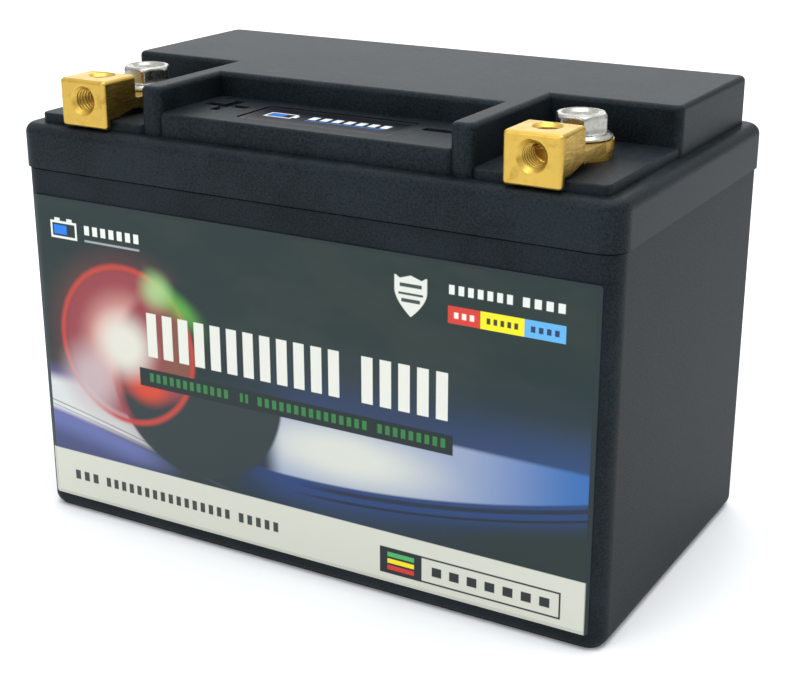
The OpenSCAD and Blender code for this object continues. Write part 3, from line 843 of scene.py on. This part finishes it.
def adapter(side, material):
    """Brass block with rounded edges and its two tapped holes cut as real threads."""
    node = f"adapter_{side}"
    low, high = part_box(node)
    block = shaper_bar("block", node, BLOCK_OUTLINE, BLOCK_WIDTH + 2 * SKIN, BLOCK_EASE, 5)
    eye = shaper_bar("eye", node, EYE_OUTLINE, EYE_ROOM, EYE_EASE, 1)
    mesh = carve(cleaned_copy(node), carve(block, eye, "UNION"), "INTERSECT")
    front = mount(f"front_thread_{side}")
    top = mount(f"top_thread_{side}")
    front_mouth = (front.x, low.y + FRONT_START * MM, front.z)
    top_mouth = (top.x, top.y, high.z - TOP_START * MM)
    mesh = cut_thread(mesh, front_mouth, (0, 1, 0), TAP_ROOT_R, TAP_CREST_R, FRONT_LENGTH)
    mesh = cut_thread(mesh, top_mouth, (0, 0, -1), TAP_ROOT_R, TAP_CREST_R, TOP_LENGTH)
    soften(mesh, 30)
    piece = new_piece(f"brass_adapter_{side}", mesh, node, material, [node])
    keep_flats_flat(piece)


# The post's thread in millimetres, which starts a little above the post's top so that it opens there
POST_ROOT_R = 2.9
POST_CREST_R = 3.3
POST_ABOVE, POST_LENGTH = 0.2, 9.6


def threaded_post(side, material):
    """Brass post whose bolt hole has a real thread."""
    node = f"post_{side}"
    low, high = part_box(node)
    middle = (low + high) / 2
    mouth = (middle.x, middle.y, high.z + POST_ABOVE * MM)
    mesh = cut_thread(cleaned_copy(node), mouth, (0, 0, -1), POST_ROOT_R, POST_CREST_R, POST_LENGTH)
    soften(mesh, 30)
    piece = new_piece(f"threaded_post_{side}", mesh, "root", material, [node])
    keep_flats_flat(piece)


def mount(name):
    """The place of a mount from the frame's record."""
    for entry in frame["record"]["mounts"]:
        if entry["name"] == name:
            return Vector(entry["pos_m"])
    raise KeyError(name)


# ---------------------------------------------------------------- finishes of the CAD nodes

FINISHES = {
    "case_plastic": lambda: moulded_plastic("case_abs", paint(6, 11, 15), paint(28, 34, 39), 0.56),
    "lid_plastic": lambda: moulded_plastic("lid_abs", paint(7, 12, 16), paint(30, 36, 41), 0.50),
    "sealant": lambda: speckled("butyl_sealant", paint(48, 48, 46), paint(70, 70, 66), 0.6, 0.6, depth=0.05),
    "label_print": label_print,
    "nameplate": nameplate_print,
    "brass": lambda: brass("milled_brass"),
    "bolt_steel": lambda: plated("plated_bolt", paint(172, 170, 162)),
    "seal_rubber": lambda: speckled("seal_rubber", paint(16, 16, 17), paint(30, 30, 31), 0.4, 0.7),
    "tinned_copper": lambda: plated("tinned_copper", paint(196, 198, 200), rough=0.3),
    "plated_steel": lambda: plated("plated_nut", paint(184, 186, 188), rough=0.28),
    "foam": lambda: speckled("closed_cell_foam", paint(52, 52, 54), paint(86, 86, 88), 0.9, 0.9, depth=0.2),
    "insulating_paper": lambda: speckled(
        "fish_paper", paint(196, 186, 150), paint(220, 212, 182), 0.7, 0.8, streak=(0.2, 2, 1)
    ),
    "holder_plastic": lambda: speckled(
        "holder_plastic", paint(214, 212, 200), paint(232, 230, 222), 0.5, 0.5
    ),
    "cell_wrap": lambda: speckled(
        "shrink_wrap", paint(34, 108, 168), paint(58, 134, 192), 1.2, 0.3, depth=0.01
    ),
    "nickel": lambda: speckled(
        "nickel_strip", paint(176, 174, 166), paint(214, 212, 204), 0.6, 0.3, metal=1.0, streak=(0.1, 2, 2)
    ),
    "board_laminate": lambda: speckled(
        "board_laminate", paint(18, 70, 42), paint(30, 96, 58), 0.35, 0.4, depth=0.01
    ),
    "chip_plastic": lambda: speckled(
        "chip_epoxy", paint(22, 23, 25), paint(38, 39, 42), 0.2, 0.55, depth=0.01
    ),
    "connector_plastic": lambda: speckled(
        "connector_nylon", paint(226, 224, 214), paint(240, 238, 230), 0.8, 0.45
    ),
    "red_insulation": lambda: speckled("red_silicone", paint(158, 28, 24), paint(196, 44, 36), 0.9, 0.5),
    "black_insulation": lambda: speckled("black_silicone", paint(18, 18, 19), paint(34, 34, 36), 0.9, 0.5),
}


def dress_nodes(made):
    """Gives every CAD node the material of its slot."""
    slot_of = {part["node"]: part["material_slot"] for part in frame["record"]["subparts"]}
    for name, obj in NODES.items():
        material = made[slot_of[name]]
        if not obj.material_slots:
            obj.data.materials.append(material)
        for place in obj.material_slots:
            place.material = material


FLOOR_SIZE = 30.0
FLOOR_GAP = 0.2  # in mm, keeps the floor clear of the case's underside


def put_floor():
    mesh = bpy.data.meshes.new("studio_floor")
    half = FLOOR_SIZE / 2
    corners = [(-half, -half, 0), (half, -half, 0), (half, half, 0), (-half, half, 0)]
    mesh.from_pydata(corners, [], [(0, 1, 2, 3)])
    floor = bpy.data.objects.new("studio_floor", mesh)
    bpy.context.scene.collection.objects.link(floor)
    floor.location.z = -FLOOR_GAP * MM
    g = Graph("studio_paper")
    tone = g.mix(g.noise(60, detail=4), paint(246, 247, 248), paint(250, 250, 250))
    mesh.materials.append(g.finish(tone, 0.7 + g.noise(8) * 0.1, g.bump(g.noise(1.5), 0.02)))


bpy.context.scene.view_settings.view_transform = "Standard"
put_camera()
put_sky()
put_softboxes()
put_floor()
materials = {slot: make() for slot, make in FINISHES.items()}
dress_nodes(materials)
for part, width in (("case_tub", 0.3), ("lid", 0.35)):
    ease_edges(NODES[part], width)
for end in ("left", "right"):
    adapter(end, materials["brass"])
    flange_bolt(end, materials["bolt_steel"])
    threaded_post(end, materials["brass"])
